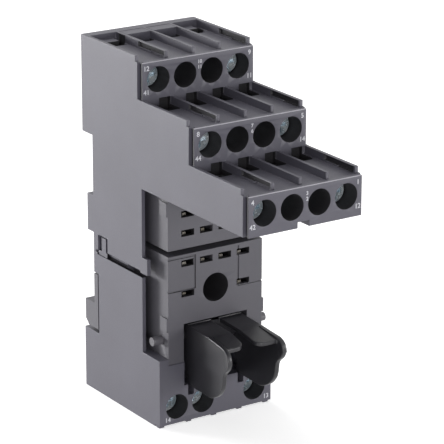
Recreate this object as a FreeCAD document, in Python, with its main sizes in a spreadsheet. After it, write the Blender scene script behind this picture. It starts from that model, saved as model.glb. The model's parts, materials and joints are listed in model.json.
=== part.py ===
import FreeCAD, Part
import math
import os
import Sketcher

# Four-pole screw-terminal socket for a plug-in relay, clipped to a 35 mm rail.
# X runs across the socket, -Y points to the front, +Z is up, z = 0 is the bottom
# and y = 0 is the back. All sizes are millimetres.

# Driving dimensions, in the order of the pieces that use them
SIZES = {
    "channel_margin": 1.0,
    "side_wall": 0.8,
    "tier_pitch": 8.7,
    "tier_one_depth": 22.7,
    "tier_step": 18.5,
    "plate_height": 7.45,
    "floor_wall": 0.6,
    "plate_thickness": 1.2,
    "plate_inset": 0.45,
    "plate_lip": 0.4,
    "shadow_gap": 0.8,
    "shadow_depth": 1.1,
    "rim_rise": 1.2,
    "rim_setback": 1.9,
    "tray_drop": 0.4,
    "flank_recess": 0.35,
    "flank_recess_height": 0.9,
    "flank_recess_front": 2.6,
    "flank_recess_length": 5.0,
    "edge_break": 0.15,
    "rear_wall": 2.4,
    "rib_thickness": 0.7,
    "column_pitch": 6.25,
    "bore_play": 0.6,
    "terminal_drop": 3.7,
    "outer_head_depth": 4.0,
    "screw_throat": 1.75,
    "head_diameter": 4.6,
    "head_height": 1.8,
    "recess_width": 0.8,
    "recess_span": 3.2,
    "recess_depth": 1.0,
    "shank_diameter": 3.0,
    "shank_clearance": 0.3,
    "tip_gap": 0.4,
    "well_width": 3.2,
    "well_shift": 1.0,
    "well_length": 3.8,
    "well_setback": 0.2,
    "tier_one_back": 3.1,
    "tab_play": 0.15,
    "cage_height": 5.0,
    "cage_room": 0.5,
    "cage_side": 0.6,
    "cage_end": 0.7,
    "cage_setback": 0.6,
    "cage_play": 0.25,
    "thread_play": 0.05,
    "grip_gap": 0.2,
    "tab_setback": 3.4,
    "tab_width": 2.9,
    "tab_reach": 2.0,
    "tab_gap": 0.3,
    "tab_root": 2.4,
    "strip_thickness": 0.8,
    "strip_width": 2.6,
    "strip_play": 0.2,
    "pin_pitch": 4.4,
    "row_coil_rise": 9.8,
    "row_third_rise": 6.4,
    "row_second_rise": 6.3,
    "row_first_rise": 4.0,
    "seat_margin": 4.6,
    "slot_width": 3.0,
    "slot_height": 1.35,
    "fork_height": 2.4,
    "fork_play": 0.15,
    "fork_side": 1.7,
    "fork_gap": 0.5,
    "fork_depth": 5.0,
    "fork_gap_front": 0.2,
    "leg_first_gap": 4.4,
    "leg_second_gap": 5.6,
    "leg_third_gap": 1.5,
    "arm_height": 2.6,
    "low_arm_height": 0.8,
    "seat_gap": 1.45,
    "seat_face": 28.9,
    "seat_plate": 1.2,
    "seat_play": 0.05,
    "seat_foot_depth": 1.4,
    "groove_rise": 1.9,
    "groove_height": 1.2,
    "wall_setback": 6.1,
    "tab_step": 1.9,
    "tab_height": 3.35,
    "seam_gap": 0.9,
    "split_wall": 1.8,
    "key_back": 5.4,
    "key_width": 3.5,
    "key_height": 3.85,
    "key_gap": 0.5,
    "key_inset": 0.25,
    "rail_depth": 3.95,
    "rail_notch": 36.1,
    "rail_flange": 1.3,
    "lip_start": 3.0,
    "lip_width": 6.0,
    "lip_depth": 1.5,
    "lip_height": 0.55,
    "middle_rise": 3.9,
    "middle_height": 7.9,
    "middle_back": 1.65,
    "latch_rise": 6.5,
    "latch_plate": 1.4,
    "latch_slit": 0.3,
    "latch_gap": 0.8,
    "hook_top": 19.4,
    "hook_height": 5.5,
    "hook_back": 0.35,
    "hook_chamfer": 1.2,
    "nose_width": 10.0,
    "nose_rise": 0.5,
    "guide_neck": 4.0,
    "guide_head": 8.0,
    "guide_neck_length": 1.35,
    "guide_head_length": 1.3,
    "guide_foot_gap": 1.7,
    "guide_top_gap": 2.1,
    "guide_play": 0.1,
    "panel_screw": 3.4,
    "panel_head": 6.0,
    "panel_head_depth": 8.0,
    "block_step": 0.2,
    "block_reach": 18.5,
    "block_top": 14.55,
    "block_plate_bottom": 0.4,
    "block_terminal": 4.0,
    "pocket_side": 1.1,
    "pocket_drop": 9.7,
    "pocket_rise": 3.4,
    "pocket_room": 3.65,
    "wing_slot_drop": 12.0,
    "wing_play": 0.2,
    "axle_inset": 2.65,
    "axle_height": 17.9,
    "axle_diameter": 1.8,
    "axle_play": 0.05,
    "hub_diameter": 4.4,
    "wing_outer": 6.5,
    "wing_thickness": 1.0,
    "flange_thickness": 0.9,
    "flange_reach": 14.95,
    "flange_lip": 1.0,
    "flange_fall": 1.2,
    "finger_gap": 2.2,
    "bridge_front": 2.45,
    "bridge_back": 0.85,
    "bridge_rise": 0.7,
    "underside_left": 1.8,
    "underside_right": 0.8,
    "underside_depth": 1.2,
    "underside_length": 12.0,
    "line_width": 0.35,
    "line_depth": 0.25,
    "line_left": 5.1,
    "line_right": 5.3,
    "line_drop": 0.8,
    "line_left_rise": 1.05,
    "line_right_fall": 0.85,
    "cheek_rise": 0.4,
    "cheek_length": 2.5,
    "lower_cheek_rise": 2.3,
    "cheek_height": 2.9,
    "overcut": 1.0,
}

# Corners of the lever's side plate, as distances in front of and above the axle
WING_CORNERS = {
    "heel": (2.65, -9.9),
    "sole": (11.05, -10.1),
    "toe": (13.85, -8.6),
    "lower_lobe": (15.45, -6.3),
    "waist": (15.65, -3.3),
    "upper_lobe": (17.55, -1.9),
    "nose": (18.05, 0.2),
    "brow": (16.65, 1.9),
    "crown": (9.75, 2.6),
    "nape": (2.35, 2.9),
}
for corner, (reach, rise) in WING_CORNERS.items():
    SIZES["wing_%s_reach" % corner] = reach
    SIZES["wing_%s_rise" % corner] = rise

TIERS = (1, 2, 3)
COLUMNS = (-1.5, -0.5, 0.5, 1.5)
COIL_COLUMNS = (-1.5, 1.5)
BLOCK_COLUMNS = (-1.5, -0.5, 1.5)
RIBS = (-1, 0, 1)
THREAD_SIDES = 8


class Size:
    """A size that holds both its value and the expression that drives it."""

    def __init__(self, value, text):
        self.value = float(value)
        self.text = text

    @staticmethod
    def of(other):
        if isinstance(other, Size):
            return other
        return Size(other, repr(float(other)))

    def _join(self, other, sign, value):
        return Size(value, "(%s %s %s)" % (self.text, sign, other.text))

    def __add__(self, other):
        other = Size.of(other)
        return self._join(other, "+", self.value + other.value)

    def __radd__(self, other):
        return Size.of(other) + self

    def __sub__(self, other):
        other = Size.of(other)
        return self._join(other, "-", self.value - other.value)

    def __rsub__(self, other):
        return Size.of(other) - self

    def __mul__(self, other):
        other = Size.of(other)
        return self._join(other, "*", self.value * other.value)

    def __rmul__(self, other):
        return Size.of(other) * self

    def __truediv__(self, other):
        other = Size.of(other)
        return self._join(other, "/", self.value / other.value)

    def __neg__(self):
        return Size.of(0) - self


class Dimensions:
    """The sheet of driving dimensions, read by name."""

    def __init__(self, doc, sizes):
        sheet = doc.addObject("Spreadsheet::Sheet", "Sizes")
        for row, (name, value) in enumerate(sizes.items(), start=1):
            sheet.set("A%d" % row, name)
            sheet.set("B%d" % row, str(value))
            sheet.setAlias("B%d" % row, name)
            setattr(self, name, Size(value, "Sizes." + name))
        doc.recompute()


doc = FreeCAD.newDocument("RelaySocket")
d = Dimensions(doc, SIZES)


# Sketches and features

def polygon(*corners):
    return ("polygon", [(Size.of(u), Size.of(v)) for u, v in corners])


def rectangle(u_low, v_low, u_high, v_high):
    return polygon((u_low, v_low), (u_high, v_low), (u_high, v_high), (u_low, v_high))


def sorted_x(u_one, u_two, v_low, v_high):
    """Rectangle limits with the two x values put in order."""
    u_one = Size.of(u_one)
    u_two = Size.of(u_two)
    if u_one.value <= u_two.value:
        return (u_one, v_low, u_two, v_high)
    return (u_two, v_low, u_one, v_high)


def circle(u, v, diameter):
    return ("circle", (Size.of(u), Size.of(v), Size.of(diameter)))


def even_polygon(u, v, across, sides):
    """A polygon with even sides, measured across its flats."""
    reach = across / 2 / math.cos(math.pi / sides)
    turns = [math.pi * (2 * i + 1) / sides for i in range(sides)]
    return polygon(*[(u + reach * math.cos(turn), v + reach * math.sin(turn)) for turn in turns])


def origin_plane(body, role):
    return [part for part in body.Origin.OriginFeatures if part.Role == role][0]


def bind(sketch, kind, index, point, size, name):
    """Add one driving constraint and tie it to its expression."""
    if kind == "Diameter":
        number = sketch.addConstraint(Sketcher.Constraint(kind, index, size.value))
    else:
        number = sketch.addConstraint(Sketcher.Constraint(kind, index, point, size.value))
    sketch.renameConstraint(number, name)
    sketch.setExpression("Constraints." + name, size.text)


def draw(body, name, plane, offset, loops):
    """Sketch closed loops on an origin plane, moved along the plane's normal.

    XY faces up, XZ faces the front and YZ faces +X, so offset is a height, a depth
    behind the front or a place along X.
    """
    sketch = body.newObject("Sketcher::SketchObject", name)
    sketch.AttachmentSupport = [(origin_plane(body, plane + "_Plane"), "")]
    sketch.MapMode = "FlatFace"
    sketch.setExpression("AttachmentOffset.Base.z", Size.of(offset).text)
    for shape, data in loops:
        first = sketch.GeometryCount
        if shape == "circle":
            u, v, diameter = data
            centre = FreeCAD.Vector(u.value, v.value, 0)
            sketch.addGeometry(Part.Circle(centre, FreeCAD.Vector(0, 0, 1), diameter.value / 2))
            bind(sketch, "DistanceX", first, 3, u, "u%d" % first)
            bind(sketch, "DistanceY", first, 3, v, "v%d" % first)
            bind(sketch, "Diameter", first, 0, diameter, "d%d" % first)
            continue
        count = len(data)
        corners = [FreeCAD.Vector(u.value, v.value, 0) for u, v in data]
        sketch.addGeometry([Part.LineSegment(corners[i], corners[(i + 1) % count])
                            for i in range(count)], False)
        ties = [Sketcher.Constraint("Coincident", first + i, 2, first + (i + 1) % count, 1)
                for i in range(count)]
        upright = [data[i][0].text == data[(i + 1) % count][0].text for i in range(count)]
        level = [data[i][1].text == data[(i + 1) % count][1].text for i in range(count)]
        ties += [Sketcher.Constraint("Vertical", first + i) for i in range(count) if upright[i]]
        ties += [Sketcher.Constraint("Horizontal", first + i) for i in range(count) if level[i]]
        sketch.addConstraint(ties)
        for i, (u, v) in enumerate(data):
            if i == 0 or not (upright[i - 1] or (i == count - 1 and upright[i])):
                bind(sketch, "DistanceX", first + i, 1, u, "u%d" % (first + i))
            if i == 0 or not (level[i - 1] or (i == count - 1 and level[i])):
                bind(sketch, "DistanceY", first + i, 1, v, "v%d" % (first + i))
    return sketch


def new_body(name):
    body = doc.addObject("PartDesign::Body", name)
    body.Label = name
    return body


def pad(body, name, plane, offset, loops, length):
    """Add material along the plane's normal."""
    feature = body.newObject("PartDesign::Pad", name)
    feature.Profile = draw(body, name + "_sketch", plane, offset, loops)
    feature.setExpression("Length", Size.of(length).text)
    feature.Refine = False
    return feature


def pocket(body, name, plane, offset, loops, length):
    """Cut against the plane's normal: down, towards the back or towards -X."""
    feature = body.newObject("PartDesign::Pocket", name)
    feature.Profile = draw(body, name + "_sketch", plane, offset, loops)
    feature.setExpression("Length", Size.of(length).text)
    feature.Refine = False
    return feature


# Widths

half = d.column_pitch * 2 + d.channel_margin
width = half * 2
inner = half - d.side_wall
seat_half = inner - d.seat_gap
strip_half = d.strip_thickness / 2
fork_half = d.fork_height / 2
room_half = strip_half + d.strip_play
tool_bore = d.head_diameter + d.bore_play
cage_width = d.tab_width + d.tab_play * 2 + d.cage_side * 2
pocket_half = d.wing_outer + d.pocket_side

# Depths inside a terminal, from the plane that its clamp is placed from
cage_length = d.tab_setback + strip_half + d.cage_room + d.cage_end - d.cage_setback
clamp_travel = d.tab_setback - strip_half - d.cage_end - d.cage_setback - d.grip_gap
cavity_back = d.cage_setback - d.cage_play
cavity_front = d.cage_setback + cage_length + clamp_travel + d.cage_play
tip_setback = d.tab_setback + strip_half + d.tip_gap

# Depths of the seat, the terminal block, the axle and the strips' legs
block_face = d.seat_face + d.block_step
block_back = block_face - d.block_reach
wall_front = d.seat_face - d.wall_setback
tab_front = wall_front + d.tab_step
axle_depth = d.seat_face - d.axle_inset
pocket_back = axle_depth - d.pocket_room
fork_tip = d.seat_face - d.seat_plate - d.fork_gap_front
fork_root = fork_tip - d.fork_depth
leg_coil = block_back + d.tab_setback + strip_half
leg_first = leg_coil + d.leg_first_gap
leg_third = d.tier_one_back + d.tab_setback + d.leg_third_gap
leg_second = leg_third + d.leg_second_gap
seat_back = leg_first - d.strip_width - d.strip_play
latch_front = d.rail_depth + d.latch_plate
guide_neck_depth = latch_front + d.guide_neck_length
guide_depth = guide_neck_depth + d.guide_head_length

# Heights, from the axle up to the tiers
row_coil = d.axle_height + d.row_coil_rise
row_third = row_coil + d.row_third_rise
row_second = row_third + d.row_second_rise
row_first = row_second + d.row_first_rise
groove_low = row_third + d.groove_rise
groove_high = groove_low + d.groove_height
core_split = row_third - fork_half - d.strip_play - d.split_wall
lower_wall_top = core_split - d.seam_gap / 2
tab_bottom = core_split + d.seam_gap / 2
tab_top = tab_bottom + d.tab_height
key_top = lower_wall_top + d.key_height
middle_bottom = core_split + d.middle_rise
middle_top = middle_bottom + d.middle_height
rail_top = d.hook_top + d.rail_notch
lowest = row_first + d.seat_margin
seat_top = lowest - d.seat_play
strip_drop = d.terminal_drop + d.cage_height / 2 + d.tab_gap
lowest_plate_height = strip_drop + d.low_arm_height + d.strip_play + d.floor_wall
block_floor = d.block_plate_bottom + d.tray_drop
seat_foot = d.block_top - d.seat_foot_depth
pocket_low = d.axle_height - d.pocket_drop
pocket_high = d.axle_height + d.pocket_rise
wing_slot_low = d.axle_height - d.wing_slot_drop
latch_top = d.hook_top + d.latch_rise
hook_bottom = d.hook_top - d.hook_height
guide_low = hook_bottom + d.guide_foot_gap
guide_high = latch_top - d.guide_top_gap


# Places that several pieces share

def column_x(column):
    return d.column_pitch * column


def pin_x(column):
    return d.pin_pitch * column


def side(column):
    return 1 if column > 0 else -1


def is_outer(column):
    return abs(column) > 1


def tier_face(tier):
    return d.tier_one_depth + d.tier_step * (tier - 1)


def tier_plate_top(tier):
    return lowest + lowest_plate_height + d.tier_pitch * (TIERS[-1] - tier)


def tier_plate_bottom(tier):
    return lowest if tier == TIERS[-1] else tier_plate_top(tier) - d.plate_height


def tier_rim(tier):
    return tier_plate_top(tier) + d.rim_rise


def tier_floor(tier):
    return tier_plate_top(tier) - d.tray_drop


def terminal_height(tier):
    return tier_plate_top(tier) - d.terminal_drop


def tier_back(tier):
    """Depth of the plane that the clamps of a tier are placed from."""
    return d.tier_one_back if tier == TIERS[0] else tier_face(tier - 1)


def head_shoulder(column, face, back):
    """Depth of the shoulder under a screw head; the inner screws sit deeper."""
    if is_outer(column):
        return face - d.outer_head_depth - d.head_height
    return back + cavity_front + d.screw_throat


ROW_OF_TIER = {1: row_third, 2: row_second, 3: row_first}
LEG_OF_TIER = {1: leg_third, 2: leg_second, 3: leg_first}
TIER_NAMES = {1: "common", 2: "make", 3: "break"}
COIL_PLACES = {-1.5: (-1.5, -0.5), 1.5: (1.5,)}
COIL_NAMES = {-1.5: "a2", 1.5: "a1"}


# Cuts that both housings share

def centred(u, v, width, height):
    return rectangle(u - width / 2, v - height / 2, u + width / 2, v + height / 2)


def box_between(near_depth, far_depth, low, high):
    """A rectangle in the YZ plane between two depths and two heights."""
    return rectangle(-far_depth, low, -near_depth, high)


def cut_both_sides(body, name, loops, inside, outside):
    """Cut the same YZ outline into both flanks, between two distances from x = 0."""
    pocket(body, name + "_right", "YZ", outside, loops, outside - inside)
    pocket(body, name + "_left", "YZ", -inside, loops, outside - inside)


def pad_both_sides(body, name, loops, inside, outside):
    pad(body, name + "_right", "YZ", inside, loops, outside - inside)
    pad(body, name + "_left", "YZ", -outside, loops, outside - inside)


def screw_space(name, column, face, back, height):
    """Start the space of one terminal: tool bore, screw opening and clamp cavity."""
    x = column_x(column)
    space = new_body("space_" + name)
    wide = cage_width + d.cage_play * 2
    tall = d.cage_height + d.cage_play * 2
    pad(space, "cavity_" + name, "XZ", back + cavity_back, [centred(x, height, wide, tall)],
        cavity_front - cavity_back)
    opening = d.shank_diameter + d.shank_clearance * 2
    shoulder = head_shoulder(column, face, back)
    start = back + cavity_front
    pad(space, "opening_" + name, "XZ", start, [centred(x, height, opening, opening)], shoulder - start)
    bore = circle(x, height, tool_bore)
    pad(space, "bore_" + name, "XZ", shoulder, [bore], face - shoulder + d.overcut)
    return space


def well_outline(column, back):
    """Wire entry beside the right-hand rib of a channel."""
    x = column_x(column) + d.well_shift
    near_edge = back + d.well_setback
    return rectangle(x - d.well_width / 2, -(near_edge + d.well_length), x + d.well_width / 2, -near_edge)


def cut_spaces(form, label, spaces):
    """Take all terminal spaces out of a housing in one cut."""
    tools = doc.addObject("Part::Compound", label + "_spaces")
    tools.Links = spaces
    cut = doc.addObject("Part::Cut", label)
    cut.Label = label
    cut.Base = form
    cut.Tool = tools
    cut.Refine = True
    return cut


def cut_flank_grooves(body, name, plates):
    """Narrow each front plate and open the shadow gap behind its edge."""
    lips = []
    gaps = []
    for face, low, high in plates:
        lips.append(box_between(face - d.plate_lip, face + d.overcut, low, high))
        gaps.append(box_between(face - d.plate_lip - d.shadow_gap, face - d.plate_lip, low, high))
    cut_both_sides(body, name + "_lips", lips, half - d.plate_inset, half + d.overcut)
    cut_both_sides(body, name + "_gaps", gaps, half - d.shadow_depth, half + d.overcut)


def tab_depth(back):
    return back + d.tab_setback


def tab_inner_x(column):
    """Edge of the flat blank that faces the middle of the socket."""
    return pin_x(column) - side(column) * strip_half


def tab_outer_x(column):
    return column_x(column) + side(column) * d.tab_width / 2


def tab_inner_end(column):
    """Edge of a tab that faces the middle of the socket, where no blank limits it."""
    return column_x(column) - side(column) * d.tab_width / 2


def arm_top(tier):
    return terminal_height(tier) - d.cage_height / 2 - d.tab_gap


def arm_height(tier):
    return d.low_arm_height if tier == TIERS[-1] else d.arm_height


def strip_outline(tier, grow, forked):
    """Outline of a contact strip in the YZ plane, grown for the slot it sits in."""
    row = ROW_OF_TIER[tier]
    front = LEG_OF_TIER[tier] + grow
    rear = LEG_OF_TIER[tier] - d.strip_width - grow
    top = arm_top(tier) + grow
    corners = []
    if tier == TIERS[0]:
        corners.append((front, top))
        corners.append((rear, top))
    else:
        arm_front = tab_depth(tier_back(tier)) + strip_half + grow
        arm_low = arm_top(tier) - arm_height(tier) - grow
        corners.append((front, arm_low))
        corners.append((arm_front, arm_low))
        corners.append((arm_front, top))
        if tier == TIERS[-1]:
            step = tier_back(tier) + cavity_back - d.cage_side - d.strip_play * 2 + grow
            broad = arm_top(tier) - d.low_arm_height + d.arm_height + grow
            corners.append((step, top))
            corners.append((step, broad))
            corners.append((rear, broad))
        else:
            corners.append((rear, top))
    corners.append((rear, row - fork_half - grow))
    corners.append((fork_tip, row - fork_half - grow))
    if forked:
        corners.append((fork_tip, row - d.fork_gap / 2))
        corners.append((fork_root, row - d.fork_gap / 2))
        corners.append((fork_root, row + d.fork_gap / 2))
        corners.append((fork_tip, row + d.fork_gap / 2))
    corners.append((fork_tip, row + fork_half + grow))
    corners.append((front, row + fork_half + grow))
    return polygon(*[(-depth, height) for depth, height in corners])


def coil_tab_low():
    return d.block_terminal + d.cage_height / 2 + d.tab_gap


def coil_outline(grow, forked):
    row = row_coil
    front = leg_coil + grow
    rear = leg_coil - d.strip_width - grow
    corners = [(rear, coil_tab_low() - grow), (front, coil_tab_low() - grow)]
    corners.append((front, row - fork_half - grow))
    corners.append((fork_tip, row - fork_half - grow))
    if forked:
        corners.append((fork_tip, row - d.fork_gap / 2))
        corners.append((fork_root, row - d.fork_gap / 2))
        corners.append((fork_root, row + d.fork_gap / 2))
        corners.append((fork_tip, row + d.fork_gap / 2))
    corners.append((fork_tip, row + fork_half + grow))
    corners.append((rear, row + fork_half + grow))
    return polygon(*[(-depth, height) for depth, height in corners])


# Upper housing: three terminal tiers above the upper half of the rail notch

upper = new_body("upper_form")
corners = [(0, tier_rim(1))]
for tier in TIERS:
    face = tier_face(tier)
    corners.append((-(face - d.rim_setback), tier_rim(tier)))
    corners.append((-(face - d.rim_setback), tier_plate_top(tier)))
    corners.append((-(face - d.edge_break), tier_plate_top(tier)))
    corners.append((-face, tier_plate_top(tier) - d.edge_break))
    corners.append((-face, tier_plate_bottom(tier) if tier == TIERS[-1] else tier_rim(tier + 1)))
corners += [(-wall_front, lowest), (-wall_front, tab_top), (-tab_front, tab_top)]
corners += [(-tab_front, core_split), (-d.rail_depth, core_split)]
corners += [(-d.rail_depth, middle_bottom), (-d.middle_back, middle_bottom)]
corners += [(-d.middle_back, middle_top), (-d.rail_depth, middle_top)]
corners += [(-d.rail_depth, rail_top), (0, rail_top)]
pad(upper, "upper_block", "YZ", -half, [polygon(*corners)], width)
space = box_between(seat_back, tab_front + d.overcut, core_split - d.overcut, lowest)
pocket(upper, "upper_seat_space", "YZ", inner, [space], inner * 2)
seam = box_between(d.key_back, tab_front + d.overcut, core_split - d.overcut, tab_bottom)
cut_both_sides(upper, "upper_seam", [seam], inner, half + d.overcut)
window = box_between(d.key_back - d.key_gap, d.key_back + d.key_width + d.key_gap,
                     core_split - d.overcut, key_top + d.key_gap)
cut_both_sides(upper, "snap_window", [window], inner, half + d.overcut)
cut_flank_grooves(upper, "plate", [(tier_face(t), tier_plate_bottom(t), tier_plate_top(t) + d.overcut)
                                   for t in TIERS])
upper_spaces = []
for tier in TIERS:
    name = TIER_NAMES[tier]
    face = tier_face(tier)
    back = tier_back(tier)
    tray_back = d.rear_wall if tier == TIERS[0] else back
    tray = rectangle(-inner, -(face - d.plate_thickness), inner, -tray_back)
    start = tier_rim(tier) + d.overcut
    pocket(upper, name + "_tray", "XY", start, [tray], start - tier_floor(tier))
    ribs = [rectangle(d.column_pitch * rib - d.rib_thickness / 2, -(face - d.rim_setback),
                      d.column_pitch * rib + d.rib_thickness / 2, -tray_back) for rib in RIBS]
    pad(upper, name + "_ribs", "XY", tier_floor(tier), ribs, tier_rim(tier) - tier_floor(tier))
    recess = box_between(face - d.flank_recess_front - d.flank_recess_length, face - d.flank_recess_front,
                         tier_floor(tier), tier_floor(tier) + d.flank_recess_height)
    pocket(upper, name + "_wall_recess", "YZ", inner + d.flank_recess, [recess], d.flank_recess * 2)
    rib_left = -d.column_pitch - d.rib_thickness / 2
    pocket(upper, name + "_rib_recess", "YZ", rib_left + d.flank_recess, [recess], d.flank_recess * 2)
    slot = strip_outline(tier, d.strip_play, False)
    low = arm_top(tier) - arm_height(tier) - d.strip_play
    high = terminal_height(tier) - d.cage_height / 2
    for number, column in enumerate(COLUMNS, start=1):
        piece = "%s_%d" % (name, number)
        space = screw_space(piece, column, face, back, terminal_height(tier))
        pad(space, "slot_" + piece, "YZ", pin_x(column) - strip_half, [slot], d.strip_thickness)
        tab = rectangle(*sorted_x(tab_inner_x(column) - side(column) * d.strip_play,
                                  tab_outer_x(column) + side(column) * d.strip_play, low, high))
        pad(space, "tab_slot_" + piece, "XZ", tab_depth(back) - room_half, [tab], room_half * 2)
        pad(space, "well_" + piece, "XY", high + d.cage_height, [well_outline(column, back)],
            tier_floor(tier) - high - d.cage_height + d.overcut / 4)
        upper_spaces.append(space)
lip_rear = d.rail_depth - d.rail_flange - d.lip_depth
lips = [rectangle(*sorted_x(d.lip_start * s, (d.lip_start + d.lip_width) * s,
                            -(d.rail_depth - d.rail_flange), -lip_rear)) for s in (-1, 1)]
pad(upper, "rail_lips", "XY", rail_top - d.lip_height, lips, d.lip_height)
notch = rectangle(-d.underside_left, lowest - d.overcut, d.underside_right, lowest + d.underside_depth)
pocket(upper, "underside_notch", "XZ", tier_face(TIERS[-1]), [notch], d.underside_length)
upper_housing = cut_spaces(upper, "upper_housing", upper_spaces)


# Lower housing: the coil terminal block below the lower half of the rail notch

lower = new_body("lower_form")
latch_space = latch_front + d.latch_slit
corners = [(0, 0), (0, hook_bottom - d.latch_gap), (-latch_space, hook_bottom - d.latch_gap)]
corners += [(-latch_space, latch_top + d.latch_slit), (-d.rail_depth, latch_top + d.latch_slit)]
corners += [(-d.rail_depth, core_split), (-wall_front, core_split), (-wall_front, d.block_top)]
corners += [(-block_face, d.block_top), (-block_face, d.block_plate_bottom)]
corners += [(-(block_face - d.rim_setback), d.block_plate_bottom), (-(block_face - d.rim_setback), 0)]
pad(lower, "lower_block", "YZ", -half, [polygon(*corners)], width)
space = box_between(seat_back, block_face + d.overcut, d.block_top, core_split + d.overcut)
pocket(lower, "lower_seat_space", "YZ", inner, [space], inner * 2)
foot_half = seat_half + d.seat_play
space = box_between(seat_back, block_face + d.overcut, seat_foot, d.block_top + d.overcut)
pocket(lower, "seat_foot_space", "YZ", foot_half, [space], foot_half * 2)
seam = box_between(d.key_back, wall_front + d.overcut, lower_wall_top, core_split + d.overcut)
cut_both_sides(lower, "lower_seam", [seam], inner, half + d.overcut)
key = box_between(d.key_back, d.key_back + d.key_width, lower_wall_top - d.key_gap, key_top)
pad_both_sides(lower, "snap_key", [key], inner + d.seat_play, half - d.key_inset)
tray = rectangle(-inner, -(block_face - d.plate_thickness), inner, -d.rear_wall)
pocket(lower, "block_tray", "XY", block_floor, [tray], block_floor + d.overcut)
ribs = [rectangle(d.column_pitch * rib - d.rib_thickness / 2, -(block_face - d.rim_setback),
                  d.column_pitch * rib + d.rib_thickness / 2, -d.rear_wall) for rib in RIBS]
pad(lower, "block_ribs", "XY", 0, ribs, block_floor)
lower_spaces = []
high = d.block_terminal + d.cage_height / 2
for number, column in enumerate(BLOCK_COLUMNS, start=1):
    piece = "coil_%d" % number
    space = screw_space(piece, column, block_face, block_back, d.block_terminal)
    pad(space, "well_" + piece, "XY", 0, [well_outline(column, block_back)], high - d.cage_height)
    lower_spaces.append(space)
for column in COIL_COLUMNS:
    piece = "coil_" + COIL_NAMES[column]
    space = new_body("space_" + piece)
    pad(space, "slot_" + piece, "YZ", pin_x(column) - strip_half, [coil_outline(d.strip_play, False)],
        d.strip_thickness)
    places = COIL_PLACES[column]
    edge = tab_inner_x(column) if len(places) == 1 else tab_inner_end(places[-1])
    tab = rectangle(*sorted_x(edge - side(column) * d.strip_play,
                              tab_outer_x(column) + side(column) * d.strip_play,
                              high, coil_tab_low() + d.tab_root + d.strip_play))
    pad(space, "tab_slot_" + piece, "XZ", tab_depth(block_back) - room_half, [tab], room_half * 2)
    lower_spaces.append(space)
space = box_between(pocket_back, block_face + d.overcut, pocket_low, d.block_top + d.overcut)
pocket(lower, "lever_pocket", "YZ", pocket_half, [space], pocket_half * 2)
space = box_between(pocket_back, block_face + d.overcut, wing_slot_low, pocket_low)
cut_both_sides(lower, "wing_slots", [space], d.wing_outer - d.wing_thickness - d.wing_play,
               d.wing_outer + d.wing_play)


def guide_outline(grow):
    neck = d.guide_neck / 2 + grow
    head = d.guide_head / 2 + grow
    start = latch_front
    step = guide_neck_depth - grow
    end = guide_depth + grow
    return polygon((-neck, -start), (-neck, -step), (-head, -step), (-head, -end),
                   (head, -end), (head, -step), (neck, -step), (neck, -start))


keyway_top = guide_high + d.latch_slit
keyway_height = guide_high - guide_low + d.latch_slit + d.latch_gap
pocket(lower, "latch_keyway", "XY", keyway_top, [guide_outline(d.guide_play)], keyway_height)
hole = circle(0, row_coil, d.panel_head)
pocket(lower, "panel_head_bore", "XZ", seat_back, [hole], seat_back - d.panel_head_depth)
hole = circle(0, row_coil, d.panel_screw)
pocket(lower, "panel_screw_hole", "XZ", seat_back, [hole], seat_back)
lower_housing = cut_spaces(lower, "lower_housing", lower_spaces)


# Relay seats: the two faces that the relay's blades plug into

def cut_contact_rows(body, name, places):
    slots = [centred(pin_x(c), row, d.slot_width, d.slot_height) for c, row in places]
    pocket(body, name + "_blade_slots", "XZ", d.seat_face, slots, d.seat_plate)
    wide = d.fork_side * 2
    tall = d.fork_height + d.fork_play * 2
    rooms = [centred(pin_x(c), row, wide, tall) for c, row in places]
    depth = d.seat_face - d.seat_plate
    pocket(body, name + "_fork_rooms", "XZ", depth, rooms, depth - seat_back)


upper_seat = new_body("upper_seat")
face = box_between(seat_back, d.seat_face, groove_high, seat_top)
pad(upper_seat, "upper_seat_block", "YZ", -seat_half, [face], seat_half * 2)
cut_contact_rows(upper_seat, "upper", [(c, row) for row in (row_first, row_second) for c in COLUMNS])
legs = [rectangle(pin_x(c) - room_half, -(leg_first + d.strip_play), pin_x(c) + room_half, -seat_back)
        for c in COLUMNS]
pocket(upper_seat, "leg_channels", "XY", seat_top, legs, seat_top - row_first)
cheek = box_between(d.seat_face - d.cheek_length, d.seat_face, row_first,
                    row_first + d.cheek_height)
pad_both_sides(upper_seat, "upper_cheek", [cheek], seat_half, seat_half + d.cheek_rise)

lower_seat = new_body("lower_seat")
face = box_between(seat_back, d.seat_face, seat_foot, groove_low)
pad(lower_seat, "lower_seat_block", "YZ", -seat_half, [face], seat_half * 2)
cut_contact_rows(lower_seat, "lower", [(c, row_third) for c in COLUMNS]
                 + [(c, row_coil) for c in COIL_COLUMNS])
hole = circle(0, row_coil, d.panel_head)
pocket(lower_seat, "seat_centre_hole", "XZ", d.seat_face, [hole], d.seat_face - seat_back)
space = box_between(pocket_back, d.seat_face + d.overcut, seat_foot - d.overcut, pocket_high)
pocket(lower_seat, "seat_lever_pocket", "YZ", pocket_half, [space], pocket_half * 2)
hole = circle(-axle_depth, d.axle_height, d.axle_diameter)
pocket(lower_seat, "axle_bore", "YZ", seat_half + d.overcut, [hole], seat_half * 2 + d.overcut * 2)
line_upper = groove_low - d.line_drop
line_left_low = row_coil + d.line_left_rise
line_right_low = row_coil - d.line_right_fall
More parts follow.
